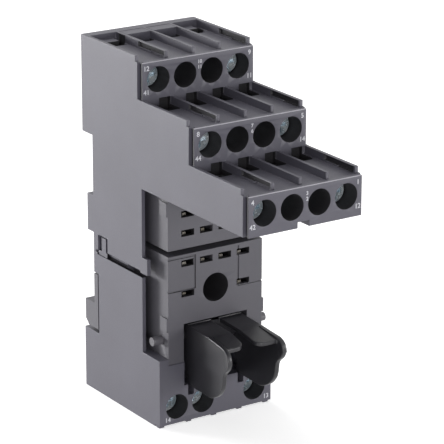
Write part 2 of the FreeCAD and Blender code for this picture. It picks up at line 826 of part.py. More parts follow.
lines = [polygon((-seat_half - d.overcut, line_upper), (-d.line_left, line_upper),
                 (-d.line_left, line_left_low), (-seat_half - d.overcut, line_left_low),
                 (-seat_half - d.overcut, line_left_low - d.line_width),
                 (-d.line_left + d.line_width, line_left_low - d.line_width),
                 (-d.line_left + d.line_width, line_upper + d.line_width),
                 (-seat_half - d.overcut, line_upper + d.line_width)),
         polygon((d.line_right, line_upper + d.line_width), (d.line_right, line_right_low),
                 (seat_half + d.overcut, line_right_low),
                 (seat_half + d.overcut, line_right_low + d.line_width),
                 (d.line_right + d.line_width, line_right_low + d.line_width),
                 (d.line_right + d.line_width, line_upper + d.line_width))]
pocket(lower_seat, "engraved_lines", "XZ", d.seat_face, lines, d.line_depth)
cheek_low = d.axle_height + d.lower_cheek_rise
cheek = box_between(d.seat_face - d.cheek_length, d.seat_face, cheek_low, cheek_low + d.cheek_height)
pad_both_sides(lower_seat, "lower_cheek", [cheek], seat_half, seat_half + d.cheek_rise)


# Rail latch: slides down out of the rail's lower flange

latch = new_body("rail_latch")
corners = [(-latch_front, hook_bottom), (-latch_front, latch_top), (-d.rail_depth, latch_top)]
corners += [(-d.rail_depth, d.hook_top), (-d.hook_back, d.hook_top)]
corners += [(-d.hook_back, hook_bottom + d.hook_chamfer), (-d.hook_back - d.hook_chamfer, hook_bottom)]
pad(latch, "latch_plate", "YZ", -half, [polygon(*corners)], width)
nose = rectangle(-d.nose_width / 2, -(d.rail_depth - d.rail_flange), d.nose_width / 2, -lip_rear)
pad(latch, "latch_nose", "XY", d.hook_top, [nose], d.nose_rise)
pad(latch, "latch_guide", "XY", guide_low, [guide_outline(Size.of(0))], guide_high - guide_low)


# Ejector lever and its axle

def wing_corner(name):
    reach = getattr(d, "wing_%s_reach" % name)
    rise = getattr(d, "wing_%s_rise" % name)
    return (-(axle_depth + reach), d.axle_height + rise)


lever = new_body("ejector_lever")
hub = circle(-axle_depth, d.axle_height, d.hub_diameter)
pad(lever, "lever_hub", "YZ", -d.wing_outer, [hub], d.wing_outer * 2)
hub_radius = d.hub_diameter / 2
wing = [wing_corner(name) for name in WING_CORNERS]
nape_y, nape = wing_corner("nape")
crown_y, crown = wing_corner("crown")
wing += [(-axle_depth, nape), (-axle_depth, d.axle_height - hub_radius)]
pad_both_sides(lever, "lever_wing", [polygon(*wing)], d.wing_outer - d.wing_thickness, d.wing_outer)
front_top = crown - d.flange_fall
thick = d.flange_thickness
flange_y = -(axle_depth + d.flange_reach)
flange = polygon((nape_y, nape), (nape_y, nape - thick), (crown_y, crown - thick),
                 (flange_y + d.flange_lip, front_top - thick), (flange_y, front_top - thick * 2),
                 (flange_y - thick, front_top - thick * 2), (flange_y - thick, front_top - thick / 2),
                 (flange_y + d.flange_lip, front_top + thick / 4), (crown_y, crown))
pad_both_sides(lever, "lever_flange", [flange], d.finger_gap / 2, d.wing_outer)
bridge = box_between(axle_depth - d.bridge_back, axle_depth + d.bridge_front,
                     d.axle_height + d.bridge_rise, nape)
pad(lever, "lever_bridge", "YZ", -d.wing_outer, [bridge], d.wing_outer * 2)
bore = circle(-axle_depth, d.axle_height, d.axle_diameter + d.axle_play * 2)
pocket(lever, "lever_bore", "YZ", d.wing_outer + d.overcut, [bore], (d.wing_outer + d.overcut) * 2)

axle = new_body("lever_axle")
rod = circle(-axle_depth, d.axle_height, d.axle_diameter)
pad(axle, "axle_rod", "YZ", -half, [rod], width)


# Terminals: contact strips, screws and rising clamps

def cross(u, v, span, width):
    near_u = width / 2
    far_u = span / 2
    return polygon((u - near_u, v - far_u), (u + near_u, v - far_u), (u + near_u, v - near_u),
                   (u + far_u, v - near_u), (u + far_u, v + near_u), (u + near_u, v + near_u),
                   (u + near_u, v + far_u), (u - near_u, v + far_u), (u - near_u, v + near_u),
                   (u - far_u, v + near_u), (u - far_u, v - near_u), (u - near_u, v - near_u))


def make_terminal(name, column, face, back, height):
    """A terminal screw and the clamp that rises on it."""
    x = column_x(column)
    head_back = head_shoulder(column, face, back)
    head_front = head_back + d.head_height
    tip = back + tip_setback
    screw = new_body("screw_" + name)
    pad(screw, "shank_" + name, "XZ", tip, [circle(x, height, d.shank_diameter)], head_back - tip)
    pad(screw, "head_" + name, "XZ", head_back, [circle(x, height, d.head_diameter)], d.head_height)
    recess = cross(x, height, d.recess_span, d.recess_width)
    pocket(screw, "recess_" + name, "XZ", head_front, [recess], d.recess_depth)
    clamp = new_body("clamp_" + name)
    near_edge = back + d.cage_setback
    far_edge = near_edge + cage_length
    reach = cage_width / 2
    outside = rectangle(x - reach, -far_edge, x + reach, -near_edge)
    inside = rectangle(x - reach + d.cage_side, -(far_edge - d.cage_end),
                       x + reach - d.cage_side, -(near_edge + d.cage_end))
    pad(clamp, "cage_" + name, "XY", height - d.cage_height / 2, [outside, inside], d.cage_height)
    hole = even_polygon(x, height, d.shank_diameter + d.thread_play * 2, THREAD_SIDES)
    pocket(clamp, "thread_" + name, "XZ", far_edge, [hole], d.cage_end)


def make_contact_strip(name, tier, column):
    strip = new_body("strip_" + name)
    outline = strip_outline(tier, Size.of(0), True)
    pad(strip, "blank_" + name, "YZ", pin_x(column) - strip_half, [outline], d.strip_thickness)
    low = arm_top(tier) - arm_height(tier)
    top = arm_top(tier)
    tip = terminal_height(tier) + d.tab_reach
    near_x = tab_inner_x(column)
    far_x = tab_outer_x(column)
    if is_outer(column):
        step_x = column_x(column) - side(column) * d.tab_width / 2
        tab = polygon((near_x, low), (far_x, low), (far_x, tip), (step_x, tip), (step_x, top),
                      (near_x, top))
    else:
        tab = polygon((near_x, low), (far_x, low), (far_x, tip), (near_x, tip))
    start = tab_depth(tier_back(tier)) - strip_half
    pad(strip, "tab_" + name, "XZ", start, [tab], d.strip_thickness)


def make_coil_strip(name, column):
    strip = new_body("strip_" + name)
    pad(strip, "blank_" + name, "YZ", pin_x(column) - strip_half, [coil_outline(Size.of(0), True)],
        d.strip_thickness)
    low = d.block_terminal - d.tab_reach
    root = coil_tab_low()
    top = root + d.tab_root
    far_x = tab_outer_x(column)
    step_x = column_x(column) - side(column) * d.tab_width / 2
    places = COIL_PLACES[column]
    if len(places) == 1:
        near_x = tab_inner_x(column)
        tab = polygon((near_x, top), (near_x, root), (step_x, root), (step_x, low), (far_x, low),
                      (far_x, top))
    else:
        near_x = tab_inner_end(places[-1])
        second_x = column_x(places[-1]) + side(column) * d.tab_width / 2
        tab = polygon((near_x, top), (near_x, low), (second_x, low), (second_x, root), (step_x, root),
                      (step_x, low), (far_x, low), (far_x, top))
    start = tab_depth(block_back) - strip_half
    pad(strip, "tab_" + name, "XZ", start, [tab], d.strip_thickness)


for tier in TIERS:
    for number, column in enumerate(COLUMNS, start=1):
        name = "%s_%d" % (TIER_NAMES[tier], number)
        make_contact_strip(name, tier, column)
        make_terminal(name, column, tier_face(tier), tier_back(tier), terminal_height(tier))
for column in COIL_COLUMNS:
    make_coil_strip("coil_" + COIL_NAMES[column], column)
for number, column in enumerate(BLOCK_COLUMNS, start=1):
    make_terminal("coil_%d" % number, column, block_face, block_back, d.block_terminal)

forms = [upper, lower] + upper_spaces + lower_spaces
bodies = [item for item in doc.Objects if item.TypeId == "PartDesign::Body" and item not in forms]
for body in bodies:
    body.Tip.Refine = True
pieces = [upper_housing, lower_housing] + bodies
doc.recompute()

for item in doc.Objects:
    if "Invalid" in item.State or "Error" in item.State:
        raise RuntimeError("%s did not recompute: %s" % (item.Name, item.State))
for piece in pieces:
    if piece.Shape.isNull() or not piece.Shape.isValid():
        raise RuntimeError("%s has no valid shape" % piece.Label)
    if len(piece.Shape.Solids) != 1:
        raise RuntimeError("%s is in %d solids" % (piece.Label, len(piece.Shape.Solids)))

os.makedirs("parts", exist_ok=True)
for piece in pieces:
    piece.Shape.exportStep("parts/%s.step" % piece.Label)
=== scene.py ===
"""Dress a four-pole relay socket: plastics, plated metal, printed numbers, light and camera."""
import json
import logging
import math
from dataclasses import dataclass, field
from enum import Enum
from typing import Callable

import bpy
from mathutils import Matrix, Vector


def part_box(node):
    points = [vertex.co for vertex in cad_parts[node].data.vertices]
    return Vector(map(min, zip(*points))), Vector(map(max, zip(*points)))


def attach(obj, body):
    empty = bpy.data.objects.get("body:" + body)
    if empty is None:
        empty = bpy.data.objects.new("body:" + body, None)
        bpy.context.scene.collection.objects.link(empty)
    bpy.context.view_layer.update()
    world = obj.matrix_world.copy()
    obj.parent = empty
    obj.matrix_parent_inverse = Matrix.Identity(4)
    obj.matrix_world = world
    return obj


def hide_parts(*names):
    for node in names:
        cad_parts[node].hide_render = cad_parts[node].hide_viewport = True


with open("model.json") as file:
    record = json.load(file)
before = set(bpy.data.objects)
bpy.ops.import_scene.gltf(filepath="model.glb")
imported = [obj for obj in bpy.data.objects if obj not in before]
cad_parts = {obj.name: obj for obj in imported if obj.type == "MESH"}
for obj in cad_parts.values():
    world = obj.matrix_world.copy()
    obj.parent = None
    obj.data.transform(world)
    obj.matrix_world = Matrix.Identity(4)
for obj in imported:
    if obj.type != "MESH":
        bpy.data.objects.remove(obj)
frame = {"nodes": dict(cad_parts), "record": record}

log = logging.getLogger("relay_socket")

Colour = tuple[float, float, float]
Point = tuple[float, float, float]

MM = 0.001
WHITE = (1.0, 1.0, 1.0, 1.0)

# For the mesh tools, in millimetres and degrees.
SAME_PLACE = 0.002
FLAT_TURN = 0.5
SLIVER = 0.004
SHARP_TURN = 50.0
FACE_WEIGHT = 80


class MetalLook(Enum):
    """The looks of the socket's metal pieces: plated finishes, and zinc darkened as painted shade."""

    ZINC = "zinc"
    DULL_ZINC = "dull zinc"
    TIN = "tin"


class Change(Enum):
    """The ways tools change a piece."""

    CUT = "DIFFERENCE"
    ADD = "UNION"


class NodeSheet:
    """A small helper that places and joins nodes in one tree."""

    SPACING = 190

    def __init__(self, tree: bpy.types.NodeTree) -> None:
        """Start on the node tree of a material or a group."""
        self.tree = tree
        self.column = 0

    def add(self, kind: str, **settings: object) -> bpy.types.Node:
        """Add a node and set its properties.

        Args:
            kind: The node's type name.
            settings: Properties of the node by name.

        Returns:
            The new node.
        """
        node = self.tree.nodes.new(kind)
        node.location = (self.column * self.SPACING, 0)
        self.column += 1
        for name, value in settings.items():
            setattr(node, name, value)
        return node

    def join(self, source: bpy.types.NodeSocket, target: bpy.types.NodeSocket) -> None:
        """Link an output to an input."""
        self.tree.links.new(source, target)

    def ramp(self, source: bpy.types.NodeSocket, low: float, high: float,
             to_low: float, to_high: float) -> bpy.types.NodeSocket:
        """Map one range of values onto another.

        Args:
            source: The value to map.
            low: Start of the source range.
            high: End of the source range.
            to_low: Value at the start.
            to_high: Value at the end.

        Returns:
            The mapped value's output.
        """
        node = self.add("ShaderNodeMapRange")
        for place, value in enumerate((low, high, to_low, to_high), start=1):
            node.inputs[place].default_value = value
        self.join(source, node.inputs[0])
        return node.outputs[0]

    def noise(self, place: bpy.types.NodeSocket, scale: float, detail: float = 2.0) -> bpy.types.NodeSocket:
        """Add a noise texture.

        Args:
            place: The place that it reads.
            scale: Its scale.
            detail: How many finer layers it has.

        Returns:
            The noise's output.
        """
        node = self.add("ShaderNodeTexNoise")
        node.inputs["Scale"].default_value = scale
        node.inputs["Detail"].default_value = detail
        self.join(place, node.inputs["Vector"])
        return node.outputs["Fac"]

    def combine(self, operation: str, *parts: bpy.types.NodeSocket | float) -> bpy.types.NodeSocket:
        """Combine outputs and plain numbers in one math node.

        Args:
            operation: The node's operation.
            parts: An output or a number for each input.

        Returns:
            The result's output.
        """
        node = self.add("ShaderNodeMath", operation=operation)
        for place, part in enumerate(parts):
            if isinstance(part, float):
                node.inputs[place].default_value = part
            else:
                self.join(part, node.inputs[place])
        return node.outputs[0]


def new_group(name: str, inputs: dict[str, str], outputs: dict[str, str]) -> bpy.types.NodeTree:
    """Start a node group with its sockets.

    Args:
        name: The group's name.
        inputs: Kinds of the inputs by name.
        outputs: Kinds of the outputs by name.

    Returns:
        The group.
    """
    group = bpy.data.node_groups.new(name, "ShaderNodeTree")
    for way, sockets in (("INPUT", inputs), ("OUTPUT", outputs)):
        for socket, kind in sockets.items():
            group.interface.new_socket(socket, in_out=way, socket_type=f"NodeSocket{kind}")
    return group


class MouldGroup:
    """The shared look of moulded plastic: flow marks, fine grain and shallow sinks."""

    NAME = "Mould surface"
    INPUTS = {"Place": "Vector", "Tone": "Color", "Mottle": "Float", "Grain": "Float",
              "Gloss": "Float", "Sink": "Float"}
    OUTPUTS = {"Tone": "Color", "Roughness": "Float", "Height": "Float"}
    FLOW_SCALE = 95.0
    FLOW_DETAIL = 3.0
    GRAIN_SCALE = 3200.0
    SINK_SCALE = 60.0
    SINK_DETAIL = 0.0
    NOISE_SPAN = (0.3, 0.7)
    ROUGH_SWING = 0.08
    GRAIN_HEIGHT = 0.02
    BUMP = 0.35
    BUMP_DEPTH = 0.4

    @classmethod
    def tree(cls) -> bpy.types.NodeTree:
        """Build the group once.

        Returns:
            The node group.
        """
        if cls.NAME in bpy.data.node_groups:
            return bpy.data.node_groups[cls.NAME]
        group = new_group(cls.NAME, cls.INPUTS, cls.OUTPUTS)
        sheet = NodeSheet(group)
        given = sheet.add("NodeGroupInput").outputs
        flow = sheet.noise(given["Place"], cls.FLOW_SCALE, cls.FLOW_DETAIL)
        grain = sheet.noise(given["Place"], cls.GRAIN_SCALE)
        sinks = sheet.noise(given["Place"], cls.SINK_SCALE, cls.SINK_DETAIL)
        marks = sheet.ramp(flow, *cls.NOISE_SPAN, -1.0, 1.0)
        tone = sheet.add("ShaderNodeVectorMath", operation="SCALE")
        sheet.join(given["Tone"], tone.inputs[0])
        sheet.join(sheet.combine("MULTIPLY_ADD", marks, given["Mottle"], 1.0), tone.inputs["Scale"])
        swing = sheet.ramp(grain, *cls.NOISE_SPAN, -cls.ROUGH_SWING, cls.ROUGH_SWING)
        rough = sheet.combine("MULTIPLY_ADD", swing, given["Grain"], given["Gloss"])
        fine = sheet.combine("MULTIPLY", sheet.combine("MULTIPLY", grain, given["Grain"]), cls.GRAIN_HEIGHT)
        height = sheet.combine("MULTIPLY_ADD", sinks, given["Sink"], fine)
        result = sheet.add("NodeGroupOutput").inputs
        sheet.join(tone.outputs[0], result["Tone"])
        sheet.join(rough, result["Roughness"])
        sheet.join(height, result["Height"])
        return group


class PlatingGroup:
    """The shared look of plated metal: a cloudy tint and fine changes of roughness."""

    NAME = "Plating"
    INPUTS = {"Place": "Vector", "Metal": "Color", "Tint": "Color", "Roughness": "Float"}
    OUTPUTS = {"Metal": "Color", "Roughness": "Float", "Height": "Float"}
    CLOUD_SCALE = 420.0
    CLOUD_SPAN = (0.4, 0.6)
    STREAK_SCALE = 1500.0
    STREAK_SPAN = (0.3, 0.7)
    ROUGH_SWING = (-0.08, 0.12)
    # Where the Mix node has its colours.
    COLOUR_INPUTS = (6, 7)
    COLOUR_OUTPUT = 2
    BUMP = 0.06
    BUMP_DEPTH = 0.01

    @classmethod
    def tree(cls) -> bpy.types.NodeTree:
        """Build the group once.

        Returns:
            The node group.
        """
        if cls.NAME in bpy.data.node_groups:
            return bpy.data.node_groups[cls.NAME]
        group = new_group(cls.NAME, cls.INPUTS, cls.OUTPUTS)
        sheet = NodeSheet(group)
        given = sheet.add("NodeGroupInput").outputs
        cloud = sheet.noise(given["Place"], cls.CLOUD_SCALE)
        streak = sheet.noise(given["Place"], cls.STREAK_SCALE)
        blend = sheet.add("ShaderNodeMix", data_type="RGBA")
        sheet.join(sheet.ramp(cloud, *cls.CLOUD_SPAN, 0.0, 1.0), blend.inputs["Factor"])
        for name, place in zip(("Metal", "Tint"), cls.COLOUR_INPUTS):
            sheet.join(given[name], blend.inputs[place])
        swing = sheet.ramp(streak, *cls.STREAK_SPAN, *cls.ROUGH_SWING)
        rough = sheet.combine("ADD", given["Roughness"], swing)
        result = sheet.add("NodeGroupOutput").inputs
        sheet.join(blend.outputs[cls.COLOUR_OUTPUT], result["Metal"])
        sheet.join(rough, result["Roughness"])
        sheet.join(streak, result["Height"])
        return group


def start_material(name: str, colour: Colour, group: type[MouldGroup] | type[PlatingGroup],
                   tone: str) -> tuple[bpy.types.Material, bpy.types.Node, bpy.types.Node]:
    """Start a material whose surface comes from a shared group.

    Args:
        name: The material's name.
        colour: Its main colour.
        group: The class that builds the group.
        tone: The group's socket for the main colour.

    Returns:
        The material, the group's node and the shader.
    """
    made = bpy.data.materials.new(name)
    made.use_nodes = True
    made.diffuse_color = (*colour, 1.0)
    sheet = NodeSheet(made.node_tree)
    shader = made.node_tree.nodes["Principled BSDF"]
    place = sheet.add("ShaderNodeTexCoord")
    surface = sheet.add("ShaderNodeGroup", node_tree=group.tree())
    sheet.join(place.outputs["Object"], surface.inputs["Place"])
    surface.inputs[tone].default_value = (*colour, 1.0)
    bump = sheet.add("ShaderNodeBump")
    bump.inputs["Strength"].default_value = group.BUMP
    bump.inputs["Distance"].default_value = group.BUMP_DEPTH * MM
    sheet.join(surface.outputs["Height"], bump.inputs["Height"])
    sheet.join(surface.outputs[tone], shader.inputs["Base Color"])
    sheet.join(surface.outputs["Roughness"], shader.inputs["Roughness"])
    sheet.join(bump.outputs["Normal"], shader.inputs["Normal"])
    return made, surface, shader


@dataclass(frozen=True)
class MouldedPlastic:
    """A moulded plastic: its tone, gloss and how much the mould's surface shows."""

    name: str
    tone: Colour
    gloss: float = 0.46
    mottle: float = 0.06
    grain: float = 0.5
    sink: float = 0.5
    shine: float = 0.5

    def material(self) -> bpy.types.Material:
        """Build the material or return it if it's there.

        Returns:
            The material.
        """
        if self.name in bpy.data.materials:
            return bpy.data.materials[self.name]
        made, surface, shader = start_material(self.name, self.tone, MouldGroup, "Tone")
        for socket, value in (("Mottle", self.mottle), ("Grain", self.grain),
                              ("Gloss", self.gloss), ("Sink", self.sink)):
            surface.inputs[socket].default_value = value
        shader.inputs["Specular IOR Level"].default_value = self.shine
        return made


@dataclass(frozen=True)
class PlatedMetal:
    """A plated metal: the plating's colour, its tint and its roughness."""

    name: str
    metal: Colour
    tint: Colour
    roughness: float = 0.28
    metallic: float = 1.0

    def material(self) -> bpy.types.Material:
        """Build the material or return it if it's there.

        Returns:
            The material.
        """
        if self.name in bpy.data.materials:
            return bpy.data.materials[self.name]
        made, surface, shader = start_material(self.name, self.metal, PlatingGroup, "Metal")
        surface.inputs["Tint"].default_value = (*self.tint, 1.0)
        surface.inputs["Roughness"].default_value = self.roughness
        shader.inputs["Metallic"].default_value = self.metallic
        return made


HOUSING_PLASTIC = MouldedPlastic("Housing plastic", (0.090, 0.087, 0.110))
SEAT_PLASTIC = MouldedPlastic("Relay face plastic", (0.088, 0.085, 0.100), gloss=0.5)
LATCH_PLASTIC = MouldedPlastic("Latch plastic", (0.090, 0.087, 0.103), gloss=0.44)
LEVER_PLASTIC = MouldedPlastic("Lever plastic", (0.022, 0.0215, 0.026), gloss=0.34, mottle=0.1, grain=0.3)
AXLE_PLASTIC = MouldedPlastic("Axle plastic", (0.11, 0.106, 0.12), gloss=0.36)
# Near black painted as shade in the bores, wire entries, throats, seat slots, seat hole and the seats' seam
# band.
SHADE_PAINTED_PLASTIC = MouldedPlastic("Painted shade plastic", (0.015, 0.014, 0.017), gloss=0.7, mottle=0.04, sink=0.0)
# Near black with little shine, painted as shade in the seam between the housings.
SEAM_SHADE_PLASTIC = MouldedPlastic("Painted seam shade", (0.012, 0.011, 0.014), gloss=0.8, sink=0.0, shine=0.08)
# Dark tone painted as shade in the flank grooves and on the plates' sides.
HOLLOW_SHADE_PLASTIC = MouldedPlastic("Painted hollow shade", (0.020, 0.019, 0.023), gloss=0.55, mottle=0.04, sink=0.0)
# Light tone painted as a highlight on the plates' top edges.
EDGE_HIGHLIGHT_PLASTIC = MouldedPlastic("Painted edge highlight", (0.40, 0.39, 0.43), gloss=0.32, mottle=0.03, sink=0.0)
NUMBER_INK = MouldedPlastic("Number ink", (0.62, 0.62, 0.66), gloss=0.6, mottle=0.02, sink=0.0)
METALS = {
    MetalLook.ZINC: PlatedMetal("Zinc plating", (0.80, 0.86, 0.90), (0.46, 0.55, 0.61), 0.22, metallic=0.65),
    # Near-black zinc for the clamps: painted shade, as they lie deep in their cages.
    MetalLook.DULL_ZINC: PlatedMetal("Zinc darkened as painted shade", (0.07, 0.07, 0.075), (0.05, 0.05, 0.056), roughness=0.5),
    MetalLook.TIN: PlatedMetal("Tinned brass", (0.34, 0.32, 0.29), (0.25, 0.23, 0.19), roughness=0.4),
}


def deselect() -> None:
    """Leave nothing selected, so the next operator acts only on what it adds."""
    bpy.ops.object.select_all(action="DESELECT")


def put_on(node: str, surface_look: MouldedPlastic | PlatedMetal) -> None:
    """Give a node of the frame its material, which for the clamps is zinc darkened as painted shade.

    Args:
        node: The node's name.
        surface_look: The material to wear.
    """
    piece = frame["nodes"][node]
    made = surface_look.material()
    if not piece.material_slots:
        piece.data.materials.append(made)
    for place in piece.material_slots:
        place.material = made


def put_in_hand(piece: bpy.types.Object) -> None:
    """Make one piece the only one selected, and active.

    Args:
        piece: The piece to work on.
    """
    deselect()
    bpy.context.view_layer.objects.active = piece
    piece.select_set(True)


def copy_node(node: str, name: str, *surface_looks: MouldedPlastic | PlatedMetal) -> bpy.types.Object:
    """Copy a node of the frame as a merged mesh with whole flat faces.

    Args:
        node: The node to copy.
        name: The new piece's name.
        surface_looks: The materials that its faces can have, painted shades and a painted highlight among
            them. All start with the first.

    Returns:
        The copy.
    """
    piece = bpy.data.objects.new(name, frame["nodes"][node].data.copy())
    bpy.context.scene.collection.objects.link(piece)
    put_in_hand(piece)
    piece.data.materials.clear()
    bpy.ops.mesh.customdata_custom_splitnormals_clear()
    bpy.ops.object.mode_set(mode="EDIT")
    bpy.ops.mesh.select_all(action="SELECT")
    bpy.ops.mesh.remove_doubles(threshold=SAME_PLACE * MM)
    bpy.ops.mesh.dissolve_limited(angle_limit=math.radians(FLAT_TURN))
    bpy.ops.object.mode_set(mode="OBJECT")
    for surface_look in surface_looks:
        piece.data.materials.append(surface_look.material())
    return piece


def box_tool(low: Point, high: Point) -> bpy.types.Object:
    """Make a box to cut with.

    Args:
        low: Its lowest corner in millimetres.
        high: Its highest corner.

    Returns:
        The box.
    """
    centre = [(a + b) / 2 * MM for a, b in zip(low, high)]
    size = [(b - a) * MM for a, b in zip(low, high)]
    deselect()
    bpy.ops.mesh.primitive_cube_add(size=1.0, location=centre, scale=size)
    return bpy.context.object


def shape(piece: bpy.types.Object, tools: list[bpy.types.Object], surface_look: MouldedPlastic,
          operation: Change = Change.CUT) -> None:
    """Cut boxes out of a piece, or add them to it, and give the new faces a material, which in the hollows
    is painted shade.

    Args:
        piece: The piece to shape.
        tools: The boxes, which are used up and don't touch each other.
        surface_look: The material of the new faces.
        operation: Whether the boxes are cut out or added.
    """
    put_in_hand(tools[0])
    for tool in tools:
        tool.select_set(True)
    if len(tools) > 1:
        bpy.ops.object.join()
    cutter = bpy.context.object
    cutter.data.materials.append(surface_look.material())
    put_in_hand(piece)
    change = piece.modifiers.new("Shape", "BOOLEAN")
    change.operation = operation.value
    change.solver = "EXACT"
    change.material_mode = "TRANSFER"
    change.object = cutter
    bpy.ops.object.modifier_apply(modifier=change.name)
    put_in_hand(cutter)
    bpy.ops.object.delete()


def soften(piece: bpy.types.Object, width: float, segments: int = 2) -> None:
    """Break the sharp edges of a piece and shade it smooth by angle.

    Args:
        piece: The piece.
        width: Width of the broken edge in millimetres.
        segments: Number of faces across the edge.
    """
    put_in_hand(piece)
    bpy.ops.object.mode_set(mode="EDIT")
    bpy.ops.mesh.select_all(action="SELECT")
    bpy.ops.mesh.remove_doubles(threshold=SLIVER * MM)
    bpy.ops.mesh.dissolve_degenerate(threshold=SLIVER * MM)
    bpy.ops.mesh.quads_convert_to_tris(quad_method="BEAUTY", ngon_method="BEAUTY")
    bpy.ops.object.mode_set(mode="OBJECT")
    change = piece.modifiers.new("Edges", "BEVEL")
    change.width = width * MM
    change.segments = segments
    change.limit_method = "ANGLE"
    change.angle_limit = math.radians(SHARP_TURN)
    change.use_clamp_overlap = False
    bpy.ops.object.modifier_apply(modifier=change.name)
    bpy.ops.object.shade_smooth_by_angle(angle=math.radians(SHARP_TURN))
    normals = piece.modifiers.new("Normals", "WEIGHTED_NORMAL")
    normals.mode = "FACE_AREA"
    normals.weight = FACE_WEIGHT
    normals.keep_sharp = True
    bpy.ops.object.modifier_apply(modifier=normals.name)


def in_seam(face: bpy.types.MeshPolygon, low: float = 30.35, high: float = 31.45,
            inner: float = 12.6, width: float = 0.8, back: float = 5.0) -> bool:
    """Tell whether a face lies in the side walls' seam between the two housings."""
    x, y, z = (value / MM for value in face.center)
    return low < z < high and inner < abs(x) < inner + width and y < -back


def in_bore(behind: float, x: float, z: float, centres: list[tuple[float, float]],
            reach: float = 2.63, start: float = 0.3) -> bool:
    """Tell whether a place that lies behind a front face is in one of the bores round the centres."""
    return behind > start and any(math.hypot(x - a, z - b) < reach for a, b in centres)


@dataclass
class TerminalPlace:
    """Where one terminal lies, read from its screw in the frame."""

    x: float
    z: float
    back: float
    face: float

    @classmethod
    def of(cls, screw: str, tip_setback: float = 4.2, outer_head_depth: float = 4.0) -> "TerminalPlace":
        """Read the place of an outer terminal.

        Args:
            screw: The screw's node.
            tip_setback: From the terminal's back plane to the screw's tip, in millimetres.
            outer_head_depth: From the front face to the screw's head, in millimetres.

        Returns:
            The place in millimetres, with depths counted to the front.
        """
        low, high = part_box(screw)
        return cls((low[0] + high[0]) / 2 / MM, (low[2] + high[2]) / 2 / MM,
                   -high[1] / MM - tip_setback, -low[1] / MM + outer_head_depth)


